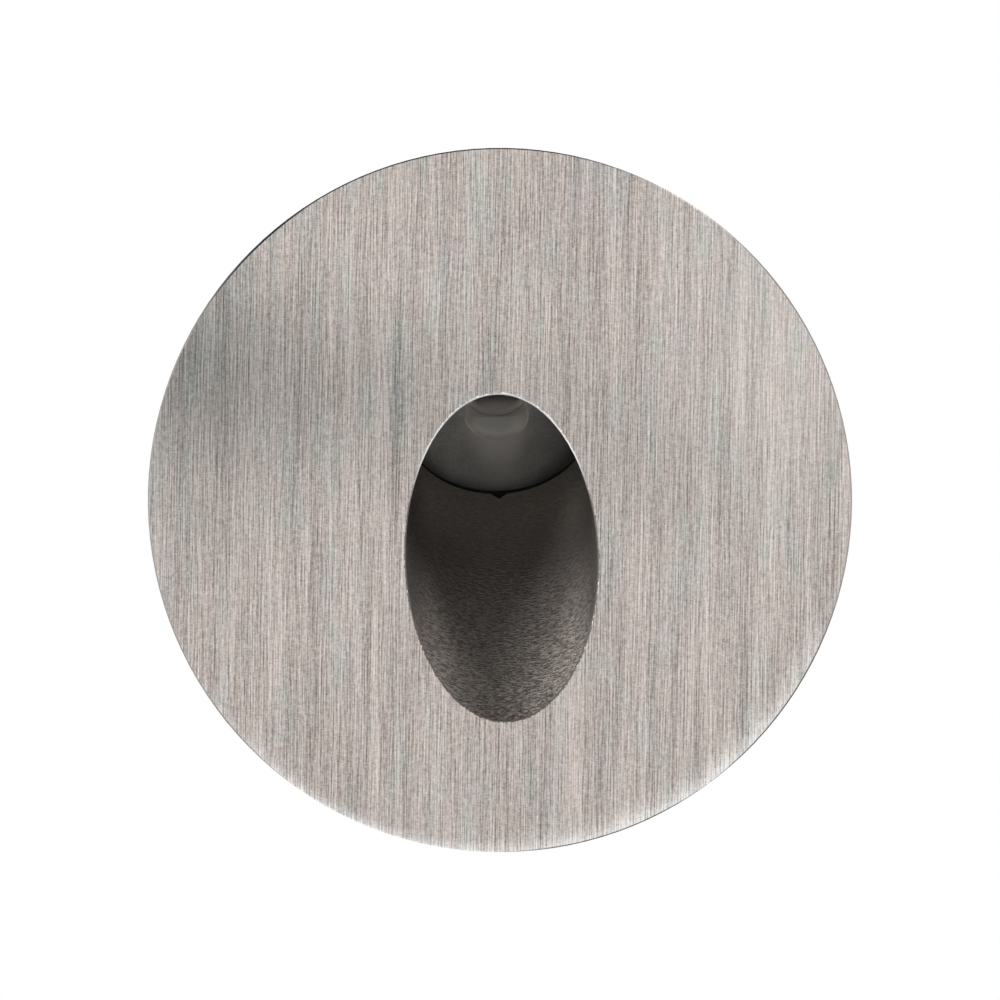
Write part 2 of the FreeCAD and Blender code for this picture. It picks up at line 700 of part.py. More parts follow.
def driver_post_places():
    return [on_circle(driver_radius - DRIVER_POST_INSET, angle) for angle in DRIVER_POST_ANGLES]


def driver_board():
    board = along_y(driver_radius, driver_front, driver_back)
    clear = screw_hole("driver", SCREW_CLEARANCE)
    return board.cut([along_y(clear, driver_front, driver_back, x, z) for x, z in driver_post_places()])


def driver_screws():
    body = screw("driver", DRIVER_BOARD_THICKNESS + SCREW_BITE)
    places = [Vector(x, driver_front, z) for x, z in driver_post_places()]
    return Part.makeCompound([aimed(body, place, Vector(0, -1, 0)) for place in places])


def driver_inductor():
    radius = INDUCTOR_DIAMETER / 2
    x, z = on_circle(locknut_reach + radius, INDUCTOR_ANGLE)
    back = driver_back + INDUCTOR_HEIGHT
    waist = tube_along_y(2 * radius, radius - INDUCTOR_WAIST, driver_back + INDUCTOR_FLANGE,
                         back - INDUCTOR_FLANGE, x, z)
    return along_y(radius, driver_back, back, x, z).cut(waist)


def driver_capacitor():
    radius = CAPACITOR_DIAMETER / 2
    x, z = on_circle(locknut_reach + radius, CAPACITOR_ANGLE)
    can = along_y(radius, driver_back, driver_back + CAPACITOR_HEIGHT, x, z)
    front = driver_back + CAPACITOR_GROOVE_HEIGHT
    back = front + CAPACITOR_GROOVE
    return can.cut(tube_along_y(2 * radius, radius - CAPACITOR_GROOVE, front, back, x, z))


def driver_chips():
    chips = []
    for (width, depth, height), (x, z) in zip(CHIP_SIZES, CHIP_PLACES):
        low = (x - width / 2, driver_back, z - depth / 2)
        chips.append(block(low, (x + width / 2, driver_back + height, z + depth / 2)))
    return Part.makeCompound(chips)


def terminal_places():
    z = -locknut_reach - TERMINAL_SIZE[1] / 2
    return [(side * TERMINAL_PITCH / 2, z) for side in (1, -1)]


def terminal_block():
    """A two-way block with a screw well over each wire entry."""
    width, depth, height = TERMINAL_SIZE
    back = driver_back + height
    top = -locknut_reach
    body = block((-width / 2, driver_back, top - depth), (width / 2, back, top))
    cuts = []
    for x, z in terminal_places():
        well = SCREW_SIZES["terminal"][1] / 2 + SCREW_CLEARANCE
        cuts.append(along_y(well, back - TERMINAL_WELL_DEPTH, back, x, z))
        tapped = screw_hole("terminal", THREAD_CLEARANCE)
        cuts.append(along_y(tapped, driver_back + TERMINAL_ENTRY_HEIGHT, back, x, z))
        entry = Vector(x, driver_back + TERMINAL_ENTRY_HEIGHT, top - depth)
        cuts.append(Part.makeCylinder(TERMINAL_ENTRY_DIAMETER / 2, depth / 2, entry, Vector(0, 0, 1)))
    return body.cut(cuts)


def terminal_screws():
    body = screw("terminal", TERMINAL_SCREW_LENGTH)
    seat = driver_back + TERMINAL_SIZE[2] - TERMINAL_WELL_DEPTH
    return Part.makeCompound([aimed(body, Vector(x, seat, z), Vector(0, 1, 0)) for x, z in terminal_places()])


# Rear cover


def rear_seal():
    outer = flatted_disc(barrel_radius - SEAL_INSET, flat_side - SEAL_INSET, HOUSING_DEPTH, cover_front)
    return outer.cut(flatted_disc(inner_radius, inner_side, HOUSING_DEPTH, cover_front))


def rear_cover():
    cover = flatted_disc(barrel_radius, flat_side, cover_front, cover_back)
    back = [edge for edge in cover.Edges if edge.BoundBox.YMin > cover_back - TOUCH]
    cover = cover.makeChamfer(COVER_CHAMFER, back)
    holes = [along_y(gland_hole_radius, cover_front, cover_back)]
    for angle in COVER_SCREW_ANGLES:
        x, z = on_circle(cover_screw_circle, angle)
        holes.append(along_y(screw_hole("cover", SCREW_CLEARANCE), cover_front, cover_back, x, z))
    posts = []
    for x, z in driver_post_places():
        posts.append(along_y(DRIVER_POST_DIAMETER / 2, driver_back, cover_front, x, z))
        tapped = screw_hole("driver", THREAD_CLEARANCE)
        holes.append(along_y(tapped, driver_back, driver_back + SCREW_BITE + SCREW_END_ROOM, x, z))
    return cover.fuse(posts).cut(holes).removeSplitter()


def cover_screws():
    body = screw("cover", COVER_THICKNESS + SEAL_THICKNESS + SCREW_BITE)
    screws = []
    for angle in COVER_SCREW_ANGLES:
        x, z = on_circle(cover_screw_circle, angle)
        screws.append(aimed(body, Vector(x, cover_back, z), Vector(0, 1, 0)))
    return Part.makeCompound(screws)


# Cable gland


def gland_washer():
    return tube_along_y(GLAND_WASHER_DIAMETER / 2, gland_hole_radius, cover_back, gland_hex_front)


def gland_body():
    inner_end = cover_front - LOCKNUT_HEIGHT - GLAND_THREAD_END
    thread = along_y(gland_thread_radius, inner_end, gland_spigot_end)
    body = thread.fuse(hexagon_along_y(GLAND_WIDTH, gland_hex_front, gland_hex_back))
    return body.cut(along_y(gland_bore_radius, inner_end, gland_spigot_end))


def gland_locknut():
    front = cover_front - LOCKNUT_HEIGHT
    hole = gland_thread_radius + THREAD_CLEARANCE
    return hexagon_along_y(GLAND_WIDTH, front, cover_front).cut(along_y(hole, front, cover_front))


def gland_seal():
    end = gland_spigot_end + GLAND_NUT_GAP
    return tube_along_y(gland_seal_radius, CABLE_DIAMETER / 2, end - GLAND_SEAL_LENGTH, end)


def gland_nut():
    """The hexagonal dome nut that squeezes the seal on the cable."""
    hexagon = hexagon_along_y(GLAND_WIDTH, gland_nut_front, gland_nut_shoulder)
    dome = along_y(GLAND_WIDTH / 2, gland_nut_shoulder, gland_nut_back)
    rim = [edge for edge in dome.Edges if edge.BoundBox.YMin > gland_nut_back - TOUCH]
    dome = dome.makeFillet(GLAND_DOME_ROUND, rim)
    seat = gland_spigot_end + GLAND_NUT_GAP
    thread_room = along_y(gland_thread_radius + THREAD_CLEARANCE, gland_nut_front, seat)
    mouth = along_y(CABLE_DIAMETER / 2 + GLAND_NUT_LIP, seat, gland_nut_back)
    return hexagon.fuse(dome).cut([thread_room, mouth])


# Spring clips, made for the right side with the pivot at the origin and the leaf running to +Y


def at_pivot(shape):
    """Turns a right-hand piece round, so that its leaf runs to the plate, and carries it to the pivot."""
    turned = shape.mirror(Vector(0, 0, 0), Vector(0, 1, 0))
    turned.translate(pivot)
    return turned


def swung_open(shape):
    """Swings a piece that lies along the housing's axis out to the clip's open angle."""
    opened = shape.copy()
    opened.rotate(Vector(0, 0, 0), Vector(0, 0, 1), -CLIP_OPEN_ANGLE)
    return opened


def clip_cheek(bottom):
    """One side of the clip: a knuckle round the pin, a web to the leaf, and a heel that stops on the flat."""
    knuckle = Part.makeCylinder(cheek_radius, CLIP_THICKNESS, Vector(0, 0, bottom))
    corners = [(-cheek_radius, 0), (leaf_outside, 0), (leaf_outside, CLIP_CHEEK_LENGTH)]
    corners.append((leaf_inside, CLIP_CHEEK_LENGTH))
    corners.append(corners[0])
    outline = Part.makePolygon([Vector(x, y, bottom) for x, y in corners])
    web = Part.Face(outline).extrude(Vector(0, 0, CLIP_THICKNESS))
    stop = PIVOT_STANDOFF - CLIP_STOP_CLEARANCE
    heel = block((-stop, -CLIP_HEEL, bottom), (0, 0, bottom + CLIP_THICKNESS))
    heel.rotate(Vector(0, 0, 0), Vector(0, 0, 1), CLIP_OPEN_ANGLE)
    return knuckle.fuse([web, heel])


def clip_arm():
    low = (leaf_inside, cheek_radius, -clip_half_width)
    leaf = block(low, (leaf_outside, CLIP_LENGTH, clip_half_width))
    hook_centre = Vector(leaf_outside - CLIP_HOOK_RADIUS, CLIP_LENGTH, -clip_half_width)
    hook = Part.makeCylinder(CLIP_HOOK_RADIUS, CLIP_WIDTH, hook_centre)
    hook = hook.cut(Part.makeCylinder(CLIP_HOOK_RADIUS - CLIP_THICKNESS, CLIP_WIDTH, hook_centre))
    hook = hook.common(block((-FAR, CLIP_LENGTH, -FAR), (FAR, FAR, FAR)))
    arm = leaf.fuse([hook, clip_cheek(cheek_inside), clip_cheek(-clip_half_width)])
    half_slot = CLIP_SLOT_WIDTH / 2
    slot_end = CLIP_SLOT_START + CLIP_SLOT_LENGTH
    slot = block((0, CLIP_SLOT_START, -half_slot), (leaf_outside, slot_end, half_slot))
    rounds = []
    for end in (CLIP_SLOT_START, slot_end):
        rounds.append(Part.makeCylinder(half_slot, leaf_outside, Vector(0, end, 0), Vector(1, 0, 0)))
    pin_hole = Part.makeCylinder(pin_hole_radius, CLIP_WIDTH, Vector(0, 0, -clip_half_width))
    return at_pivot(swung_open(arm.cut([slot, pin_hole] + rounds).removeSplitter()))


def clip_pin():
    """A rivet pin, headed at both ends."""
    shaft = Part.makeCylinder(pin_radius, 2 * ear_outside, Vector(0, 0, -ear_outside))
    heads = []
    for bottom in (ear_outside, -ear_outside - PIN_HEAD_HEIGHT):
        heads.append(Part.makeCylinder(PIN_HEAD_DIAMETER / 2, PIN_HEAD_HEIGHT, Vector(0, 0, bottom)))
    return at_pivot(shaft.fuse(heads))


def arc_from_tangent(start, tangent, end):
    """The circular arc that leaves start along tangent and reaches end."""
    chord = end - start
    along = Vector(chord).normalize()
    turn = tangent.getAngle(chord)
    bulge = (tangent - along * tangent.dot(along)).normalize()
    middle = (start + end) / 2 + bulge * (chord.Length / 2 * math.tan(turn / 2))
    return Part.Arc(start, middle, end).toShape()


def biarc(start, start_tangent, end, end_tangent):
    """Two arcs, tangent to each other, between two points with given tangents."""
    span = end - start
    both = start_tangent + end_tangent
    bend = 2 * (1 - start_tangent.dot(end_tangent))
    slope = span.dot(both)
    reach = (math.sqrt(slope ** 2 + bend * span.dot(span)) - slope) / bend
    joint = (start + start_tangent * reach + end - end_tangent * reach) / 2
    first = arc_from_tangent(start, start_tangent, joint)
    return [first, arc_from_tangent(end, end_tangent * -1, joint)]


def clip_spring():
    """A torsion spring round the pin: a level leg along the flat, the coil, and one under the open leaf."""
    coil_height = 2 * cheek_inside - SPRING_WIRE - 2 * SPRING_END_PLAY
    sweep = 180.0 - CLIP_OPEN_ANGLE + 360.0 * SPRING_WHOLE_TURNS
    rise = coil_height / math.radians(sweep)
    steps = math.ceil(sweep / 90)

    def coil_point(share):
        angle = math.radians(180 + sweep * share)
        height = coil_height * (share - 0.5)
        return Vector(coil_radius * math.cos(angle), coil_radius * math.sin(angle), height)

    def coil_tangent(share):
        angle = math.radians(180 + sweep * share)
        slope = rise if 0 < share < 1 else 0
        return Vector(-coil_radius * math.sin(angle), coil_radius * math.cos(angle), slope).normalize()

    first = coil_point(0) - coil_tangent(0) * SPRING_BODY_LEG
    edges = [Part.LineSegment(first, coil_point(0)).toShape()]
    for step in range(steps):
        here = step / steps
        there = (step + 1) / steps
        edges.extend(biarc(coil_point(here), coil_tangent(here), coil_point(there), coil_tangent(there)))
    last = coil_point(1) + coil_tangent(1) * SPRING_ARM_LEG
    edges.append(Part.LineSegment(coil_point(1), last).toShape())
    path = Part.Wire(Part.sortEdges(edges)[0])
    spring = round_wire(path, wire_radius)
    print("spring coil gap", round(least_gap(path), 3))
    return at_pivot(spring)


def least_gap(path):
    """The least gap between stretches of the wire that are more than half a turn apart along it."""
    points = path.discretize(Number=600)
    spacing = path.Length / (len(points) - 1)
    apart = math.ceil(math.pi * coil_radius / spacing)
    least = FAR
    for index, point in enumerate(points):
        for other in points[index + apart:]:
            least = min(least, point.distanceToPoint(other))
    return least - SPRING_WIRE


def pieces():
    """Every piece by its name."""
    made = {
        "face_plate": face_plate(),
        "face_studs": face_studs(),
        "stud_washers": stud_washers(),
        "stud_nuts": stud_nuts(),
        "wall_gasket": wall_gasket(),
        "housing": housing(),
        "light_chute": light_chute(),
        "lens_seal": lens_seal(),
        "lens": lens(),
        "lens_holder": lens_holder(),
        "led_emitter": led_emitter(),
        "led_board": led_board(),
        "board_screws": board_screws(),
        "thermal_pad": thermal_pad(),
        "led_carrier": led_carrier(),
        "carrier_screws": carrier_screws(),
        "led_lead_red": led_lead(1),
        "led_lead_black": led_lead(-1),
        "driver_board": driver_board(),
        "driver_screws": driver_screws(),
        "driver_inductor": driver_inductor(),
        "driver_capacitor": driver_capacitor(),
        "driver_chips": driver_chips(),
        "terminal_block": terminal_block(),
        "terminal_screws": terminal_screws(),
        "rear_seal": rear_seal(),
        "rear_cover": rear_cover(),
        "cover_screws": cover_screws(),
        "gland_washer": gland_washer(),
        "gland_body": gland_body(),
        "gland_locknut": gland_locknut(),
        "gland_seal": gland_seal(),
        "gland_nut": gland_nut(),
    }
    for name, piece in (("clip_arm", clip_arm()), ("clip_pin", clip_pin()), ("clip_spring", clip_spring())):
        made[name + "_right"], made[name + "_left"] = on_both_sides(piece)
    return made


os.makedirs("parts", exist_ok=True)
for name, piece in pieces().items():
    piece.exportStep("parts/" + name + ".step")
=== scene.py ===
import json
import math

import bpy
import numpy as np
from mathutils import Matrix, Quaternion, Vector


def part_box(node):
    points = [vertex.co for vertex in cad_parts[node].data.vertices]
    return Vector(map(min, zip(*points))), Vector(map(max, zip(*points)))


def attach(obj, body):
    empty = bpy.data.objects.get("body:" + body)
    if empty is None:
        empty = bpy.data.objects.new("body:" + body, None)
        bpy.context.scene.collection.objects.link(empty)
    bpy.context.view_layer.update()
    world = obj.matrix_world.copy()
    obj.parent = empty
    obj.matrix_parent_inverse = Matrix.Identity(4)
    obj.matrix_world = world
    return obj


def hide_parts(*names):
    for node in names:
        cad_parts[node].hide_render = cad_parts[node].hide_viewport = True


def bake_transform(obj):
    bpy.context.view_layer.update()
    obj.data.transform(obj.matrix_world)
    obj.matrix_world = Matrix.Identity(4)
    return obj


# A round step light for a wall: a brushed face plate with an elliptical opening, a slanted chute
# behind it that leads up to a leaning lens, and a cast housing with sprung clips and a cable gland.
# Lengths are in metres. +Y runs into the wall and +Z is up. Tones are display values from 0 to 255.

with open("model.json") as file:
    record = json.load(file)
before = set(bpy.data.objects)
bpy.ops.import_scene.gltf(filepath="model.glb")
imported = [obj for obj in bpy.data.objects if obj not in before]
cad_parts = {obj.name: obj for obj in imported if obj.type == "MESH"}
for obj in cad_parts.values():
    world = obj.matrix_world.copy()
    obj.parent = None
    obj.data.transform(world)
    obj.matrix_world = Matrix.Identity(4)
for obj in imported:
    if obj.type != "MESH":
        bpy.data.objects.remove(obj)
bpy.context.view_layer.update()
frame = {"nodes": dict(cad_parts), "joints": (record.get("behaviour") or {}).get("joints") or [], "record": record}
nodes = frame["nodes"]
scene = bpy.context.scene
MM = 0.001
ORIGIN = (0, 0, 0)
NO_TURN = (0, 0, 0)

# The photograph's view
PICTURE_WIDTH = 1000.0
PLATE_WIDTH_IN_PICTURE = 704.4
VIEW_DISTANCE = 0.7
VIEW_AZIMUTH = -0.2
VIEW_ROLL = -1.73
SENSOR_WIDTH = 36.0

# Plate, opening, chute and lens, as the solids have them
PLATE_RADIUS = 35.0 * MM
OPENING_DROP = 5.75 * MM
OPENING_HALF_WIDTH = 9.55 * MM
OPENING_HALF_HEIGHT = 16.25 * MM
OPENING_CHAMFER = 0.12 * MM
CHUTE_RADIUS = 9.55 * MM
CHUTE_TURN = (-36.0, 0, 0)
CHUTE_START = (0.0, -1.0 * MM, -OPENING_DROP)  # where its axis meets the plate's back
LENS_TURN = (-50.0, 0, 0)
LENS_SEAT = (0.0, 9.11 * MM, 8.165 * MM)
RECESS_RADIUS = 3.2 * MM

# Torsion springs round the clip pins
SPRING_WIRE_RADIUS = 0.35 * MM
SPRING_COIL_RADIUS = 1.65 * MM
SPRING_COIL_HEIGHT = 6.1 * MM
SPRING_SWEEP = 1604.0  # degrees
SPRING_EASES = 18  # equal parts of the sweep, and the first and last one are eased
SPRING_BODY_LEG = 7.0 * MM
SPRING_ARM_LEG = 8.0 * MM
SPRING_COIL_STEPS = 260
SPRING_LEG_STEPS = 6
SPRING_SIDES = 16
SPRING_END_CHAMFER = 0.3  # share of the wire's radius
SPRING_SECTION = np.linspace(0.0, 2.0 * math.pi, SPRING_SIDES, endpoint=False)
DRAWN_LINE_LENGTH = 4.0 * MM

# Leads from the LED board to the driver board, by the points of their routes
LEAD_RADIUS = 0.65 * MM
LEAD_OFFSET = 2.2 * MM
LEAD_ROUTE = (
    (22.743 * MM, 4.985 * MM),
    (25.443 * MM, 1.767 * MM),
    (30.3 * MM, -0.7 * MM),
    (32.7 * MM, -0.7 * MM),
)

# Brush marks on the face plate by their size along each axis, and the steel's dark and light tones
BRUSH_TURN = (0, 2.7, 0)
STROKE_SIZE = (1.3 * MM, 9 * MM, 40 * MM)
SCRATCH_SIZE = (0.12 * MM, 9 * MM, 4 * MM)
NICK_SIZE = (0.13 * MM, 9 * MM, 0.5 * MM)
SPECK_SIZE = (0.4 * MM, 9 * MM, 0.14 * MM)
TINT_SIZE = (1.8 * MM, 9 * MM, 9 * MM)
MARKS_RANGE = (0.205, 0.795)
WARM_STEEL = ((111, 102, 97), (227, 217, 211))
COOL_STEEL = ((108, 104, 99), (224, 219, 214))

# Painted reflections on the plate, as soft dull and bright places: centre, size, lean, depth and tone
PAINTED_PLATE_REFLECTIONS = (
    ((-30.6 * MM, 15.8 * MM), (80 * MM, 14.2 * MM), 14.8, 0.27, (30, 56, 58)),
    ((-29.6 * MM, 10.4 * MM), (13.7 * MM, 23.7 * MM), -7.2, 0.27, (30, 60, 64)),
    ((31 * MM, 17 * MM), (20 * MM, 30 * MM), 0.0, 0.16, (255, 250, 246)),
)

# The plate's rim and cut: painted highlights on the lower right rim and along the lower rim, a matt bevel tone, a
# painted highlight above the cut and painted shade below it, and the painted shadows of the rim by angle, half
# width, depth and thickness
PAINTED_RIM_HIGHLIGHT = (244, 242, 239)
PAINTED_LOWER_RIM_HIGHLIGHT = (250, 249, 248)
MATT_RIM = (112, 108, 104)
PAINTED_RIM_SHADOW = (30, 30, 30)
PAINTED_CUT_SHADE = (84, 79, 75)
PAINTED_CUT_HIGHLIGHT = (250, 249, 247)
PAINTED_RIM_HIGHLIGHT_ANGLE = 58
RIM_SHADOW_BLUR = 0.0025  # share of the plate's radius
RIM_SHADOWS = (
    (105.0, 50.0, 1.0, 0.18 * MM),
    (132.0, 15.0, 1.0, 0.27 * MM),
    (-38.0, 21.0, 0.9, 0.16 * MM),
    (-73.0, 20.0, 0.9, 0.16 * MM),
    (-137.0, 12.0, 0.8, 0.1 * MM),
)

# The chute's coat: tones of its hollows and ridges, and how far in they change. They are painted light and shade:
# pale at the lit mouth, dark in the shaded middle, paler again deeper in, and hollows darker than ridges
WRINKLE_SIZE = (0.6 * MM, 0.6 * MM, 0.13 * MM)
MOUTH_COAT = ((94, 88, 84), (176, 166, 158))
MIDWAY_COAT = ((82, 77, 73), (98, 92, 87))
DEEP_COAT = ((116, 109, 103), (137, 129, 121))
PAINTED_SIDE_SHADE = (40, 37, 35)
MOUTH_TO_MIDWAY = (-9 * MM, 9 * MM)
MIDWAY_TO_DEEP = (4 * MM, 13 * MM)

# The lens's face, and its recess with the depths behind the seat where its tones change. These tones are painted
# light and shade: a glow round the middle, shade near the seat and to the right, and a recess painted paler or
# darker by how light falls in it
LENS_GREY = ((116, 114, 110), (141, 138, 134))
PAINTED_LENS_GLOW = (155, 151, 146)
PAINTED_SEAT_SHADE = (50, 49, 48)
PAINTED_RIGHT_SHADE = (46, 45, 44)
GLOW_SIZE = (2.7 * MM, 6.5 * MM, 1.0)
RECESS_WALL = ((190, 186, 181), (255, 252, 248))
RECESS_SIDES = (218, 213, 207)
RECESS_UPPER_WALL = (228, 223, 217)
RECESS_FLOOR = ((62, 60, 58), (180, 176, 171))
PAINTED_FLOOR_EDGE_LIGHT = (202, 198, 192)
RECESS_START = (0.47 * MM, 0.6 * MM)
RECESS_WALL_DEPTHS = (0.45 * MM, 1.9 * MM)
RECESS_FLOOR_DEPTHS = (4.3 * MM, 4.45 * MM)
RECESS_UPPER_HEIGHTS = (8.3 * MM, 8.55 * MM)

# Worn edges: how alike the rounded and the true normal are where wear starts and where it is full
EDGE_LIKENESS = (0.97, 0.8)
BARE_CASTING = (150, 147, 142)
BRIGHT_EDGE = (232, 230, 226)

# Smaller pieces, with their dark and light tones in pairs
SPRING_STEEL = ((128, 127, 124), (190, 189, 185))
SPRING_OIL = (84, 82, 80)
CAN_SLEEVE = ((36, 44, 78), (48, 58, 98))
CAN_STRIPE = (178, 180, 186)
CAN_STRIPE_TURN = (0, 25, 0)
CAN_STRIPE_EDGE = (3.0 * MM, 3.15 * MM)
LED_YELLOW = ((238, 206, 70), (247, 226, 120))
TRACK_PITCH = 1.6 * MM

# Studio: floor and surroundings, and soft lamps by place, width, power and whether metal mirrors them
FLOOR_HEIGHT = -0.2
FLOOR_REACH = 1.2
FLOOR_FADE = (0.35, 1.1)
FLOOR_SEEN_FADE = (0.2, 0.6)
FLOOR_WHITE = (0.86, 0.86, 0.86, 1.0)
AMBIENT_LEVEL = 0.06
LAMPS = {
    "left_softbox": ((-0.58, -0.1, 0.1), 0.4, 2.7, True),
    "right_softbox": ((0.58, -0.1, 0.1), 0.4, 4.2, True),
    "front_left_softbox": ((-0.5, -0.3, 0.1), 0.3, 2.4, True),
    "top_softbox": ((0.0, -0.1, 0.59), 0.4, 0.42, True),
    "low_reflector": ((0.0, -0.08, -0.18), 0.16, 0.12, False),
    "rear_right_softbox": ((0.3, 0.55, 0.42), 0.4, 2.5, True),
    "rear_left_softbox": ((-0.5, 0.5, 0.15), 0.4, 1.5, True),
}


def colour(tone):
    """A tone as the linear colour that a shader takes."""
    shares = np.array(tone) / 255.0
    linear = np.where(shares <= 0.04045, shares / 12.92, ((shares + 0.055) / 1.055) ** 2.4)
    return (*linear.tolist(), 1.0)


def dimmed(tone, share):
    """A tone with each of its values times a share."""
    return tuple(share * value for value in tone)


# Shader recipes


class Wire:
    """What a node's output carries. Arithmetic on it adds Math nodes to its recipe."""

    def __init__(self, recipe, socket):
        self.recipe = recipe
        self.socket = socket

    def __add__(self, other):
        return self.recipe.maths("ADD", self, other)

    def __radd__(self, other):
        return self.recipe.maths("ADD", other, self)

    def __sub__(self, other):
        return self.recipe.maths("SUBTRACT", self, other)

    def __rsub__(self, other):
        return self.recipe.maths("SUBTRACT", other, self)

    def __mul__(self, other):
        return self.recipe.maths("MULTIPLY", self, other)


class Recipe:
    """A node tree that is filled in by calls."""

    def __init__(self, tree):
        self.tree = tree

    def feed(self, socket, value):
        """Links a wire to a socket, or sets the socket's own value."""
        if isinstance(value, Wire):
            self.tree.links.new(value.socket, socket)
        else:
            socket.default_value = value

    def node(self, kind, settings=None, inputs=None, output=0):
        """Adds a node, sets its settings and then its sockets, and gives one of its outputs."""
        made = self.tree.nodes.new("ShaderNode" + kind)
        for name, value in (settings or {}).items():
            setattr(made, name, value)
        for name, value in (inputs or {}).items():
            self.feed(made.inputs[name], value)
        return Wire(self, made.outputs[output])

    def maths(self, operation, first, second):
        """What a Math node makes of two numbers or wires."""
        return self.node("Math", {"operation": operation}, {0: first, 1: second})

    def spread(self, value, low, high):
        """A smooth step from 0 at low to 1 at high. It falls where low is the higher of the two."""
        ends = {"Value": value, "From Min": low, "From Max": high}
        return self.node("MapRange", {"interpolation_type": "SMOOTHSTEP"}, ends)

    def mixed(self, share, first, second):
        """The first colour at share 0 and the second at share 1. Each is a wire or a tone."""
        ends = [end if isinstance(end, Wire) else colour(end) for end in (first, second)]
        return self.node("Mix", {"data_type": "RGBA"}, {0: share, 6: ends[0], 7: ends[1]}, 2)


class Finish(Recipe):
    """A material on the Principled shader, with patterns in the part's own coordinates."""

    def __init__(self, name, uniform):
        self.slot = name
        self.material = bpy.data.materials.new(name + "_finish")
        self.material.use_nodes = True
        super().__init__(self.material.node_tree)
        self.shader = self.tree.nodes["Principled BSDF"]
        self.give(uniform)

    def give(self, inputs):
        """Feeds inputs of the Principled shader by their names."""
        for name, value in inputs.items():
            self.feed(self.shader.inputs[name], value)

    def laid(self, size, turn=NO_TURN, centre=ORIGIN):
        """The part's coordinates from a centre, turned by degrees and counted in one size or three."""
        sizes = size if isinstance(size, tuple) else (size,) * 3
        place = self.node("TexCoord", output="Object")
        angles = tuple(math.radians(angle) for angle in turn)
        inputs = {"Vector": place, "Location": centre, "Rotation": angles, "Scale": sizes}
        return self.node("Mapping", {"vector_type": "TEXTURE"}, inputs)

    def axis(self, name, size=1.0, turn=NO_TURN, centre=ORIGIN):
        """One coordinate of the laid point."""
        return self.node("SeparateXYZ", inputs={0: self.laid(size, turn, centre)}, output=name)

    def reach(self, size, centre, turn=NO_TURN):
        """How far a point is from a centre, as a share of an ellipsoid's size."""
        place = self.laid(size, turn, centre)
        return self.node("VectorMath", {"operation": "LENGTH"}, {0: place}, "Value")

    def grain(self, size, turn=NO_TURN, detail=2.0, roughness=0.5, centre=ORIGIN):
        """Noise from 0 to 1 with blobs of a size along each turned axis."""
        place = self.laid(size, turn, centre)
        inputs = {"Vector": place, "Scale": 1.0, "Detail": detail, "Roughness": roughness}
        return self.node("TexNoise", {}, inputs)

    def cells(self, size):
        """Distance to the nearest of many scattered points, about 0 to 1."""
        return self.node("TexVoronoi", {}, {"Vector": self.laid(size), "Scale": 1.0})

    def bump(self, height, depth, edge=0.0):
        """A normal from a height that counts depth, over edges that look rounded by a radius."""
        inputs = {"Height": height, "Distance": depth, "Strength": 1.0}
        if edge > 0:
            inputs["Normal"] = self.node("Bevel", {"samples": 4}, {"Radius": edge})
        return self.node("Bump", {}, inputs)

    def edge_wear(self, width):
        """1 on edges of a width and 0 on flat places."""
        rounded = self.node("Bevel", {"samples": 4}, {"Radius": width})
        true = self.node("NewGeometry", output="True Normal")
        alike = self.node("VectorMath", {"operation": "DOT_PRODUCT"}, {0: rounded, 1: true}, "Value")
        return self.spread(alike, *EDGE_LIKENESS)


# Finish of the face plate


def brush_marks(finish):
    """Long strokes, scratches with a lit and a dark side, nicks and specks, as one height."""
    strokes = finish.grain(STROKE_SIZE, BRUSH_TURN, 4.0, 1.0)
    lit_side = finish.grain(SCRATCH_SIZE, BRUSH_TURN, 0.0)
    dark_side = finish.grain(SCRATCH_SIZE, BRUSH_TURN, 0.0, centre=(SCRATCH_SIZE[0], 0, 0))
    nicks = finish.grain(NICK_SIZE, BRUSH_TURN, 0.0)
    specks = finish.grain(SPECK_SIZE, BRUSH_TURN, 2.0, 1.0)
    return strokes * 0.47 + (lit_side - dark_side) * 0.25 + nicks * 0.18 + specks * 0.36


def steel_with_painted_reflections(finish, steel):
    """The steel with its painted reflections: soft dull and bright places."""
    for centre, size, lean, depth, tone in PAINTED_PLATE_REFLECTIONS:
        place = finish.reach((size[0], 1.0, size[1]), (centre[0], 0, centre[1]), (0, lean, 0))
        steel = finish.mixed(finish.spread(place, 1.0, 0.0) * depth, steel, tone)
    return steel


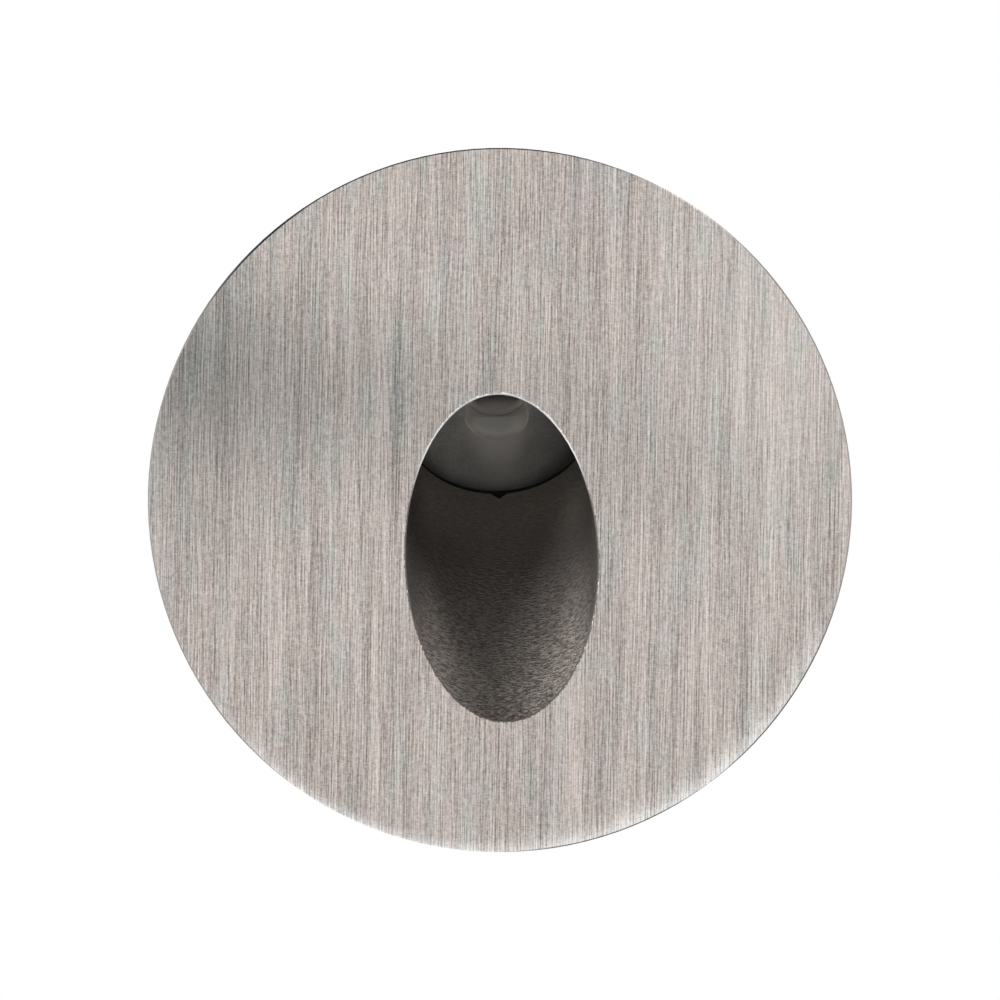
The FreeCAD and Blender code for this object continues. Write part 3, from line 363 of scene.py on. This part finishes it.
def rim_steel(finish, steel, light_marks):
    """The steel with a painted highlight on its lower right rim and along its lower rim, a bevel that is matt at
    both sides, and painted shadows at the edge.

    It comes with the shares of the bevel and of its matt parts.
    """
    rim = finish.reach((PLATE_RADIUS, 1.0, PLATE_RADIUS), ORIGIN)
    low_right = finish.axis("X", PLATE_RADIUS, (0, PAINTED_RIM_HIGHLIGHT_ANGLE, 0))
    # Painted highlight on the lower right rim
    rim_highlight = finish.spread(rim, 0.92, 1.0) * finish.spread(low_right, 0.66, 0.98)
    steel = finish.mixed(rim_highlight * (light_marks * 0.8), steel, PAINTED_RIM_HIGHLIGHT)
    downward = finish.axis("Z", -PLATE_RADIUS)
    # Painted highlight along the lower rim
    rounded = finish.spread(rim, 0.965, 1.002) * finish.spread(downward, 0.42, 0.85)
    steel = finish.mixed(rounded * (0.15 + light_marks * 0.45), steel, PAINTED_LOWER_RIM_HIGHLIGHT)
    bevel = finish.spread(rim, 0.9945, 0.9965)
    across = finish.axis("X", PLATE_RADIUS)
    matt = bevel * finish.spread(across * across, 0.3, 0.65)
    steel = finish.mixed(matt, steel, MATT_RIM)
    # Painted shadows along parts of the rim's edge
    for angle, half_width, depth, thickness in RIM_SHADOWS:
        along = finish.axis("X", PLATE_RADIUS, (0, -angle, 0))
        far = math.cos(math.radians(half_width))
        near = math.cos(math.radians(half_width / 3))
        start = 1 - thickness / PLATE_RADIUS
        edge = finish.spread(rim, start, start + RIM_SHADOW_BLUR)
        steel = finish.mixed(edge * finish.spread(along, far, near) * depth, steel, PAINTED_RIM_SHADOW)
    return steel, bevel, matt


def cut_steel(finish, steel):
    """The steel with the opening's cut edge, with a painted highlight above and painted shade below, and the lower
    cut's share.
    """
    size = (OPENING_HALF_WIDTH + OPENING_CHAMFER, 1.0, OPENING_HALF_HEIGHT + OPENING_CHAMFER)
    opening = finish.reach(size, (0, 0, -OPENING_DROP))
    burr = finish.grain(0.3 * MM, detail=2.0)
    cut = finish.spread(opening + burr * 0.03, 1.02, 1.013)
    upper = finish.spread(finish.axis("Z"), -1 * MM, 9 * MM)
    # Painted highlight on the upper cut edge and painted shade on the lower one
    steel = finish.mixed(cut, steel, finish.mixed(upper, PAINTED_CUT_SHADE, PAINTED_CUT_HIGHLIGHT))
    return steel, cut * (1 - upper)


def brushed_plate():
    """Stainless sheet brushed upright, with painted reflections as dull and bright places, and painted highlights
    and shadows on its rim and at its cut opening.
    """
    finish = Finish("brushed_plate", {})
    marks = brush_marks(finish)
    light_marks = finish.spread(marks, *MARKS_RANGE)
    warm = finish.mixed(light_marks, *WARM_STEEL)
    cool = finish.mixed(light_marks, *COOL_STEEL)
    tint = finish.spread(finish.grain(TINT_SIZE, BRUSH_TURN, 1.0), 0.5, 0.66)
    # Painted reflections: soft dull and bright places on the steel
    steel = steel_with_painted_reflections(finish, finish.mixed(tint, warm, cool))
    steel, bevel, matt = rim_steel(finish, steel, light_marks)
    steel, lower_cut = cut_steel(finish, steel)
    rough = 0.24 + marks * 0.2 + bevel * 0.3 + lower_cut * 0.4
    finish.give({"Base Color": steel, "Roughness": rough, "Metallic": 1 - matt - lower_cut})
    finish.give({"Normal": finish.bump(marks, 0.004 * MM)})
    return finish


# Finishes of the chute and the lens


def chute_coat():
    """Warm coat with wrinkles round the bore, in painted light and shade: palest at its mouth, dark midway and at
    both sides, hollows darker than ridges.
    """
    finish = Finish("chute_coated", {"Specular IOR Level": 0.4})
    wrinkle = finish.grain(WRINKLE_SIZE, CHUTE_TURN, 1.0, 0.6)
    pit = finish.grain(0.2 * MM, CHUTE_TURN, 1.0)
    height = wrinkle * 0.75 + pit * 0.25
    inward = finish.axis("Z", 1.0, CHUTE_TURN, CHUTE_START)
    depth = finish.spread(inward, *MOUTH_TO_MIDWAY)
    deep = finish.spread(inward, *MIDWAY_TO_DEEP)
    # Painted light and shade by depth: pale at the mouth, dark midway, paler deeper in, and hollows darker than
    # ridges
    hollow, ridge = [
        finish.mixed(deep, finish.mixed(depth, mouth, midway), inmost)
        for mouth, midway, inmost in zip(MOUTH_COAT, MIDWAY_COAT, DEEP_COAT)
    ]
    coat = finish.mixed(finish.spread(height, 0.38, 0.62), hollow, ridge)
    beside = finish.axis("X", CHUTE_RADIUS)
    # Painted shade at both sides of the bore
    coat = finish.mixed(finish.spread(beside * beside, 0.5, 0.95) * 0.7, coat, PAINTED_SIDE_SHADE)
    finish.give({"Base Color": coat, "Roughness": 0.58 - wrinkle * 0.3})
    finish.give({"Normal": finish.bump(height * (1.2 - depth), 0.5 * MM)})
    return finish


def lens_face(finish, frost):
    """Clouded grey with a painted glow round its middle, and painted shade towards the seat and to the right."""
    haze = finish.grain(3 * MM, detail=2.0)
    cloud = finish.spread(haze * 0.4 + frost * 0.6, 0.3, 0.7)
    grey = finish.mixed(cloud, *LENS_GREY)
    # Painted glow round the middle
    glow = finish.spread(finish.reach(GLOW_SIZE, LENS_SEAT, LENS_TURN), 1.4, 0.6)
    grey = finish.mixed(glow, grey, PAINTED_LENS_GLOW)
    # Painted shade towards the seat
    bore_size = (CHUTE_RADIUS, 1.12 * CHUTE_RADIUS, 1.0)
    bore = finish.reach(bore_size, (-0.25 * MM, *CHUTE_START[1:]), CHUTE_TURN)
    grey = finish.mixed(finish.spread(bore, 0.74, 1.01), grey, PAINTED_SEAT_SHADE)
    # Painted shade to the right
    shaded = finish.spread(finish.axis("X"), 0.5 * MM, 7 * MM) * 0.5
    return finish.mixed(shaded, grey, PAINTED_RIGHT_SHADE)


def lens_recess(finish, face):
    """The face with its recess, in painted light and shade: a wall that is paler further in with its own tone at
    the sides, a duller upper part, and a floor that goes from dark to pale with a pale edge.
    """
    recess = finish.reach((RECESS_RADIUS, RECESS_RADIUS, 1.0), LENS_SEAT, LENS_TURN)
    beside = finish.axis("X", RECESS_RADIUS)
    below = finish.axis("Y", RECESS_RADIUS, LENS_TURN, LENS_SEAT)
    inward = finish.axis("Z", 1.0, LENS_TURN, LENS_SEAT)
    # Painted light and shade in the recess: wall, sides, upper part, floor and the floor's pale edge
    wall = finish.mixed(finish.spread(inward, *RECESS_WALL_DEPTHS), *RECESS_WALL)
    wall = finish.mixed(finish.spread(beside * beside, 0.25, 0.95), wall, RECESS_SIDES)
    floor = finish.mixed(finish.spread(below, 0.1, 1.0), *RECESS_FLOOR)
    floor = finish.mixed(finish.spread(recess, 0.7, 1.0), floor, PAINTED_FLOOR_EDGE_LIGHT)
    upper = finish.mixed(finish.spread(inward, *RECESS_FLOOR_DEPTHS), RECESS_UPPER_WALL, floor)
    height = finish.axis("Z") - beside * beside * 0.25 * MM
    pale = finish.mixed(finish.spread(height, *RECESS_UPPER_HEIGHTS), wall, upper)
    inside = finish.spread(recess, 1.012, 1.002) * finish.spread(inward, *RECESS_START)
    return finish.mixed(inside, face, pale)


def frosted_lens():
    """Moulded optic that scatters light, with a frosted face and a recess."""
    soft = {"Specular IOR Level": 0.3, "Subsurface Weight": 1.0, "Subsurface Scale": 3.0 * MM}
    finish = Finish("lens_frosted", soft)
    finish.give({"Subsurface Radius": (1.0, 1.0, 1.0)})
    frost = finish.grain(0.2 * MM, detail=2.0)
    grey = lens_recess(finish, lens_face(finish, frost))
    finish.give({"Base Color": grey, "Roughness": 0.5 + frost * 0.25})
    finish.give({"Normal": finish.bump(frost, 0.05 * MM)})
    return finish


# Finishes of the other pieces


def cast_coat(name, light, dark):
    """Powder coat on a rough casting: orange peel, fine grit, and a little bare metal at the edges."""
    finish = Finish(name, {"Specular IOR Level": 0.4})
    peel = finish.grain(0.9 * MM, detail=3.0, roughness=0.6)
    grit = finish.grain(0.16 * MM, detail=1.0)
    cloud = finish.grain(14 * MM, detail=2.0)
    coat = finish.mixed(finish.spread(cloud + grit * 0.4, 0.45, 0.95), dark, light)
    worn = finish.edge_wear(0.35 * MM) * finish.spread(grit + peel, 0.8, 1.15)
    coat = finish.mixed(worn * 0.55, coat, BARE_CASTING)
    finish.give({"Base Color": coat, "Roughness": 0.5 + grit * 0.2, "Metallic": worn * 0.5})
    finish.give({"Normal": finish.bump(peel * 0.7 + grit * 0.3, 0.03 * MM, 0.25 * MM)})
    return finish


def rubber(name, tone, pore_size):
    """Matt rubber with fine pores and a faint bloom."""
    finish = Finish(name, {"Specular IOR Level": 0.3, "Sheen Weight": 0.05})
    pore = finish.cells(pore_size)
    bloom = finish.grain(4 * MM, detail=3.0)
    face = finish.mixed(finish.spread(bloom + pore * 0.3, 0.4, 0.9), dimmed(tone, 0.7), tone)
    finish.give({"Base Color": face, "Roughness": 0.75 + bloom * 0.2})
    finish.give({"Normal": finish.bump(pore, 0.02 * MM, 0.1 * MM)})
    return finish


def moulded(name, tone, gloss, grit_size):
    """Moulded plastic: spark-eroded grit, flow clouds and paler rubbed edges."""
    finish = Finish(name, {"Specular IOR Level": 0.5})
    grit = finish.grain(grit_size, detail=2.0)
    flow = finish.grain((5 * MM, 2 * MM, 5 * MM), detail=2.0)
    face = finish.mixed(finish.spread(flow * 0.7 + grit * 0.3, 0.35, 0.7), dimmed(tone, 0.8), tone)
    rubbed = tuple(0.5 * value + 60 for value in tone)
    face = finish.mixed(finish.edge_wear(0.3 * MM) * 0.5, face, rubbed)
    finish.give({"Base Color": face, "Roughness": gloss + grit * 0.18})
    finish.give({"Normal": finish.bump(grit, 0.015 * MM, 0.25 * MM)})
    return finish


def bare_metal(name, tone, line_size, turn, gloss):
    """Bare or plated metal with fine lines along one axis, blotches and bright edges."""
    finish = Finish(name, {"Metallic": 1.0})
    line = finish.grain(line_size, turn, 2.0)
    blotch = finish.grain(2.5 * MM, detail=3.0)
    face = finish.mixed(finish.spread(line * 0.6 + blotch * 0.4, 0.32, 0.68), dimmed(tone, 0.78), tone)
    face = finish.mixed(finish.edge_wear(0.2 * MM) * 0.6, face, BRIGHT_EDGE)
    finish.give({"Base Color": face, "Roughness": gloss + blotch * 0.2})
    finish.give({"Normal": finish.bump(line, 0.004 * MM, 0.12 * MM)})
    return finish


def drawn_wire():
    """Spring wire with drawn lines, on the wire's own section and length, and dark oil in places."""
    finish = Finish("spring_steel", {"Metallic": 1.0})
    flow = finish.node("Attribute", {"attribute_name": "wire_flow"}, output="Vector")
    line = finish.node("TexNoise", {}, {"Vector": flow, "Scale": 6.0, "Detail": 2.0})
    oil = finish.grain(1.2 * MM, detail=2.0)
    face = finish.mixed(finish.spread(line, 0.35, 0.65), *SPRING_STEEL)
    face = finish.mixed(finish.spread(oil, 0.45, 0.75) * 0.5, face, SPRING_OIL)
    finish.give({"Base Color": face, "Roughness": 0.26 + oil * 0.2})
    finish.give({"Normal": finish.bump(line, 0.004 * MM)})
    return finish


def circuit_board(name, mask, copper, turn, centre):
    """Solder mask over raised tracks on a square grid, with the laminate's weave faintly through it."""
    finish = Finish(name, {"Specular IOR Level": 0.5, "Coat Weight": 0.3})
    lanes = finish.laid(TRACK_PITCH, turn, centre)
    pick = finish.node("TexVoronoi", {"distance": "MANHATTAN"}, {"Vector": lanes, "Scale": 1.0})
    track = finish.spread(pick, 0.62, 0.56)
    weave = finish.grain(0.3 * MM, turn, 1.0)
    face = finish.mixed(track, dimmed(mask, 0.82), mask)
    face = finish.mixed(finish.spread(pick, 0.14, 0.1), face, copper)
    finish.give({"Base Color": face, "Roughness": 0.3 + weave * 0.15})
    finish.give({"Normal": finish.bump(track * 0.8 + weave * 0.2, 0.02 * MM)})
    return finish


def sleeved_can():
    """Capacitor sleeve with a pale stripe down one side."""
    finish = Finish("capacitor_can", {"Specular IOR Level": 0.5})
    low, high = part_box("driver_capacitor")
    middle = (low + high) / 2
    across = finish.axis("X", turn=CAN_STRIPE_TURN, centre=tuple(middle))
    creases = finish.grain((0.5 * MM, 3 * MM, 0.5 * MM), detail=2.0)
    stripe = finish.spread(across, *CAN_STRIPE_EDGE)
    face = finish.mixed(finish.spread(creases, 0.3, 0.7), *CAN_SLEEVE)
    face = finish.mixed(stripe, face, CAN_STRIPE)
    finish.give({"Base Color": face, "Roughness": 0.3 + creases * 0.15})
    finish.give({"Normal": finish.bump(creases, 0.02 * MM)})
    return finish


def phosphor():
    """Yellow phosphor under a clear dome."""
    finish = Finish("led_phosphor", {"Coat Weight": 1.0, "Coat Roughness": 0.05})
    grains = finish.cells(0.06 * MM)
    face = finish.mixed(finish.spread(grains, 0.2, 0.8), *LED_YELLOW)
    finish.give({"Base Color": face, "Roughness": 0.5 + grains * 0.2})
    finish.give({"Normal": finish.bump(grains, 0.005 * MM)})
    return finish


def all_finishes():
    """Every finish by the name of the material slot that takes it."""
    plated_lines = (0.12 * MM, 2.0 * MM, 2.0 * MM)
    rolled_lines = (0.1 * MM, 6 * MM, 0.1 * MM)
    milled_lines = (0.2 * MM, 3 * MM, 3 * MM)
    made = [
        brushed_plate(),
        chute_coat(),
        frosted_lens(),
        drawn_wire(),
        sleeved_can(),
        phosphor(),
        cast_coat("housing_cast", (66, 64, 61), (48, 47, 45)),
        cast_coat("cover_cast", (68, 66, 63), (50, 49, 47)),
        rubber("gasket_rubber", (30, 30, 30), 0.25 * MM),
        rubber("gland_rubber", (38, 38, 38), 0.2 * MM),
        rubber("pad_grey", (150, 153, 160), 0.3 * MM),
        moulded("holder_black", (28, 28, 28), 0.45, 0.1 * MM),
        moulded("chip_black", (34, 34, 35), 0.5, 0.08 * MM),
        moulded("ferrite", (52, 51, 50), 0.6, 0.12 * MM),
        moulded("terminal_green", (44, 116, 66), 0.38, 0.15 * MM),
        moulded("gland_nylon", (36, 36, 37), 0.42, 0.14 * MM),
        moulded("lead_red", (170, 26, 22), 0.3, 0.3 * MM),
        moulded("lead_black", (26, 26, 27), 0.3, 0.3 * MM),
        bare_metal("fastener_steel", (196, 194, 188), plated_lines, NO_TURN, 0.22),
        bare_metal("clip_steel", (160, 158, 154), rolled_lines, NO_TURN, 0.4),
        bare_metal("carrier_aluminium", (206, 206, 206), milled_lines, LENS_TURN, 0.26),
        circuit_board("board_white", (232, 232, 228), (206, 186, 120), LENS_TURN, LENS_SEAT),
        circuit_board("board_green", (28, 112, 58), (196, 150, 92), (90, 0, 0), ORIGIN),
    ]
    return {finish.slot: finish.material for finish in made}


def dress_nodes(finishes):
    """Gives each node of the solids the finish of its slot."""
    for row in frame["record"]["subparts"]:
        for slot in nodes[row["node"]].material_slots:
            slot.material = finishes[row["material_slot"]]


# Springs and leads


def new_piece(name, data, finish):
    """A piece in the scene on a mesh or curve, with one finish."""
    piece = bpy.data.objects.new(name, data)
    data.materials.append(finish)
    scene.collection.objects.link(piece)
    return piece


def spring_line(side):
    """Centre line of a torsion spring round its pin.

    A straight leg, a helix and a second straight leg. The helix's height grows with its angle, and in
    its first and last quarter turn by 2u^2 - u^3 of that share, so that both legs leave level. The right
    spring is mirrored in y, so that its legs run to the plate, and the left one in x as well.
    """
    share = np.linspace(0.0, 1.0, SPRING_COIL_STEPS)
    angle = np.radians(180.0 + SPRING_SWEEP * share)
    rise_in = np.minimum(SPRING_EASES * share, 1.0)
    rise_out = np.minimum(SPRING_EASES * (1.0 - share), 1.0)
    lag = (2 * rise_in ** 2 - rise_in ** 3 - rise_in) - (2 * rise_out ** 2 - rise_out ** 3 - rise_out)
    height = SPRING_COIL_HEIGHT * (share - 0.5 + lag / SPRING_EASES)
    coil = np.stack((SPRING_COIL_RADIUS * np.cos(angle), SPRING_COIL_RADIUS * np.sin(angle), height), 1)
    leave = np.stack((-np.sin(angle), np.cos(angle), 0.0 * angle), 1)
    steps = np.linspace(1.0, 0.0, SPRING_LEG_STEPS, endpoint=False)[:, None]
    body_leg = coil[0] - leave[0] * SPRING_BODY_LEG * steps
    arm_leg = coil[-1] + leave[-1] * SPRING_ARM_LEG * (1.0 + 1.0 / SPRING_LEG_STEPS - steps)
    line = np.concatenate((body_leg, coil, arm_leg))
    return line * np.array((side, -1.0, 1.0))


def wire_rings(line, radius):
    """The line with a chamfer's point added near each end, and a ring of points square to each point.

    Each ring lies on the two directions across the line that are nearest to level and to upright.
    """
    ahead = np.gradient(line, axis=0)
    ahead /= np.linalg.norm(ahead, axis=1)[:, None]
    level = np.cross(ahead, (0.0, 0.0, 1.0))
    level /= np.linalg.norm(level, axis=1)[:, None]
    upright = np.cross(level, ahead)
    chamfer = SPRING_END_CHAMFER * radius
    after_start = line[:1] + ahead[:1] * chamfer
    before_end = line[-1:] - ahead[-1:] * chamfer
    line = np.concatenate((line[:1], after_start, line[1:-1], before_end, line[-1:]))
    level = np.concatenate((level[:1], level, level[-1:]))
    upright = np.concatenate((upright[:1], upright, upright[-1:]))
    width = np.full(len(line), radius)
    width[[0, -1]] = radius - chamfer
    cosine = np.cos(SPRING_SECTION)[None, :, None]
    sine = np.sin(SPRING_SECTION)[None, :, None]
    across = cosine * level[:, None] + sine * upright[:, None]
    return line, line[:, None] + across * width[:, None, None]


def wire_faces(rings):
    """Faces between neighbouring rings, and a fan at each end on a middle point after all the rings."""
    ring, step = np.meshgrid(np.arange(rings - 1), np.arange(SPRING_SIDES), indexing="ij")
    after = (step + 1) % SPRING_SIDES
    low = ring * SPRING_SIDES
    high = low + SPRING_SIDES
    sides = np.stack((low + step, high + step, high + after, low + after), -1).reshape(-1, 4)
    around = np.arange(SPRING_SIDES)
    beside = (around + 1) % SPRING_SIDES
    pole = rings * SPRING_SIDES
    last = pole - SPRING_SIDES
    first_cap = np.stack((np.full(SPRING_SIDES, pole), around, beside), 1)
    last_cap = np.stack((np.full(SPRING_SIDES, pole + 1), last + beside, last + around), 1)
    return sides.tolist() + first_cap.tolist() + last_cap.tolist()


def wire_mesh(name, line, radius):
    """A round wire along a line, with chamfered and closed ends.

    The attribute wire_flow holds the place round the section and the length along it, for drawn lines.
    """
    line, rings = wire_rings(line, radius)
    points = np.concatenate((rings.reshape(-1, 3), line[:1], line[-1:]))
    mesh = bpy.data.meshes.new(name)
    mesh.from_pydata(points.tolist(), [], wire_faces(len(line)))
    steps = np.linalg.norm(np.diff(line, axis=0), axis=1)
    length = np.concatenate(((0.0,), np.cumsum(steps)))
    flow = np.zeros((len(points), 3))
    flow[:-2, 0] = np.tile(np.cos(SPRING_SECTION), len(line))
    flow[:-2, 1] = np.tile(np.sin(SPRING_SECTION), len(line))
    flow[:-2, 2] = np.repeat(length, SPRING_SIDES) / DRAWN_LINE_LENGTH
    attribute = mesh.attributes.new("wire_flow", "FLOAT_VECTOR", "POINT")
    attribute.data.foreach_set("vector", flow.astype(np.float32).ravel())
    mesh.polygons.foreach_set("use_smooth", np.ones(len(mesh.polygons), bool))
    mesh.update()
    return mesh


def clip_springs(finishes):
    """The two torsion springs: one leg rests on the housing and the other follows its clip."""
    for joint in frame["joints"]:
        right = joint["pos_m"][0] > 0
        side_name = "right" if right else "left"
        pivot = np.array(joint["pos_m"])
        name = "spring_wire_" + side_name
        line = spring_line(1.0 if right else -1.0) + pivot
        spring = new_piece(name, wire_mesh(name, line, SPRING_WIRE_RADIUS), finishes["spring_steel"])
        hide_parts("clip_spring_" + side_name)
        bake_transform(spring)


def leads(finishes):
    """The two insulated leads, each a smooth tube on the points of its route."""
    for tint, side in (("red", 1.0), ("black", -1.0)):
        curve = bpy.data.curves.new("lead_wire_" + tint, "CURVE")
        curve.dimensions = "3D"
        curve.bevel_depth = LEAD_RADIUS
        curve.bevel_resolution = 4
        curve.use_fill_caps = True
        spline = curve.splines.new("NURBS")
        spline.points.add(len(LEAD_ROUTE) - 1)
        for point, (y, z) in zip(spline.points, LEAD_ROUTE):
            point.co = (side * LEAD_OFFSET, y, z, 1.0)
        spline.order_u = 3
        spline.use_endpoint_u = True
        spline.resolution_u = 12
        lead = new_piece("lead_wire_" + tint, curve, finishes["lead_" + tint])
        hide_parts("led_lead_" + tint)
        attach(lead, "light")


# Studio and camera


def white_surroundings():
    """White for what is seen, also in metal and glass, and a softer level for the light that it gives."""
    world = bpy.data.worlds.new("white_surroundings")
    world.use_nodes = True
    scene.world = world
    recipe = Recipe(world.node_tree)
    seen = recipe.node("LightPath", output="Is Camera Ray")
    for kind in ("Is Glossy Ray", "Is Transmission Ray"):
        seen = recipe.maths("MAXIMUM", seen, recipe.node("LightPath", output=kind))
    backdrop = world.node_tree.nodes["Background"]
    recipe.feed(backdrop.inputs["Color"], (1.0, 1.0, 1.0, 1.0))
    recipe.feed(backdrop.inputs["Strength"], AMBIENT_LEVEL + seen * (1.0 - AMBIENT_LEVEL))


def pale_floor():
    """A pale floor that keeps the shadow and fades into the white, sooner to the eye than to light."""
    signs = ((-1, -1), (1, -1), (1, 1), (-1, 1))
    corners = [(x * FLOOR_REACH, y * FLOOR_REACH, FLOOR_HEIGHT) for x, y in signs]
    mesh = bpy.data.meshes.new("floor")
    mesh.from_pydata(corners, [], [(0, 1, 2, 3)])
    finish = Finish("floor", {"Base Color": FLOOR_WHITE, "Roughness": 0.9, "Specular IOR Level": 0.1})
    outward = finish.reach((1.0, 1.0, 10.0), ORIGIN)
    whole = finish.spread(outward, FLOOR_FADE[1], FLOOR_FADE[0])
    shown = finish.spread(outward, FLOOR_SEEN_FADE[1], FLOOR_SEEN_FADE[0])
    seen = finish.node("LightPath", output="Is Camera Ray")
    finish.give({"Alpha": whole - seen * (whole - shown)})
    floor = new_piece("floor", mesh, finish.material)


def lamp(name, place, width, power, mirrored):
    """A square soft light that faces the part. It isn't seen itself, and metal may mirror it or not."""
    light = bpy.data.lights.new(name, "AREA")
    light.size = width
    light.energy = power
    holder = bpy.data.objects.new(name, light)
    holder.location = place
    holder.rotation_mode = "QUATERNION"
    holder.rotation_quaternion = (-Vector(place)).to_track_quat("-Z", "Y")
    holder.visible_camera = False
    holder.visible_glossy = mirrored
    scene.collection.objects.link(holder)


def camera():
    """Straight in front of the plate, a little to the left, and rolled as the photograph shows it."""
    low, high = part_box("face_plate")
    target = Vector((0.0, low.y, 0.0))
    azimuth = math.radians(VIEW_AZIMUTH)
    back = Vector((math.sin(azimuth), -math.cos(azimuth), 0.0))
    data = bpy.data.cameras.new("photo_view")
    data.sensor_width = SENSOR_WIDTH
    data.lens = SENSOR_WIDTH * VIEW_DISTANCE * PLATE_WIDTH_IN_PICTURE / PICTURE_WIDTH / (high.x - low.x)
    view = bpy.data.objects.new("photo_view", data)
    view.location = target + back * VIEW_DISTANCE
    view.rotation_mode = "QUATERNION"
    roll = Quaternion((0.0, 0.0, 1.0), math.radians(VIEW_ROLL))
    view.rotation_quaternion = (-back).to_track_quat("-Z", "Y") @ roll
    scene.collection.objects.link(view)
    scene.camera = view


camera()
white_surroundings()
pale_floor()
for lamp_name, lamp_facts in LAMPS.items():
    lamp(lamp_name, *lamp_facts)
finishes = all_finishes()
dress_nodes(finishes)
clip_springs(finishes)
leads(finishes)
scene.view_settings.view_transform = "Standard"
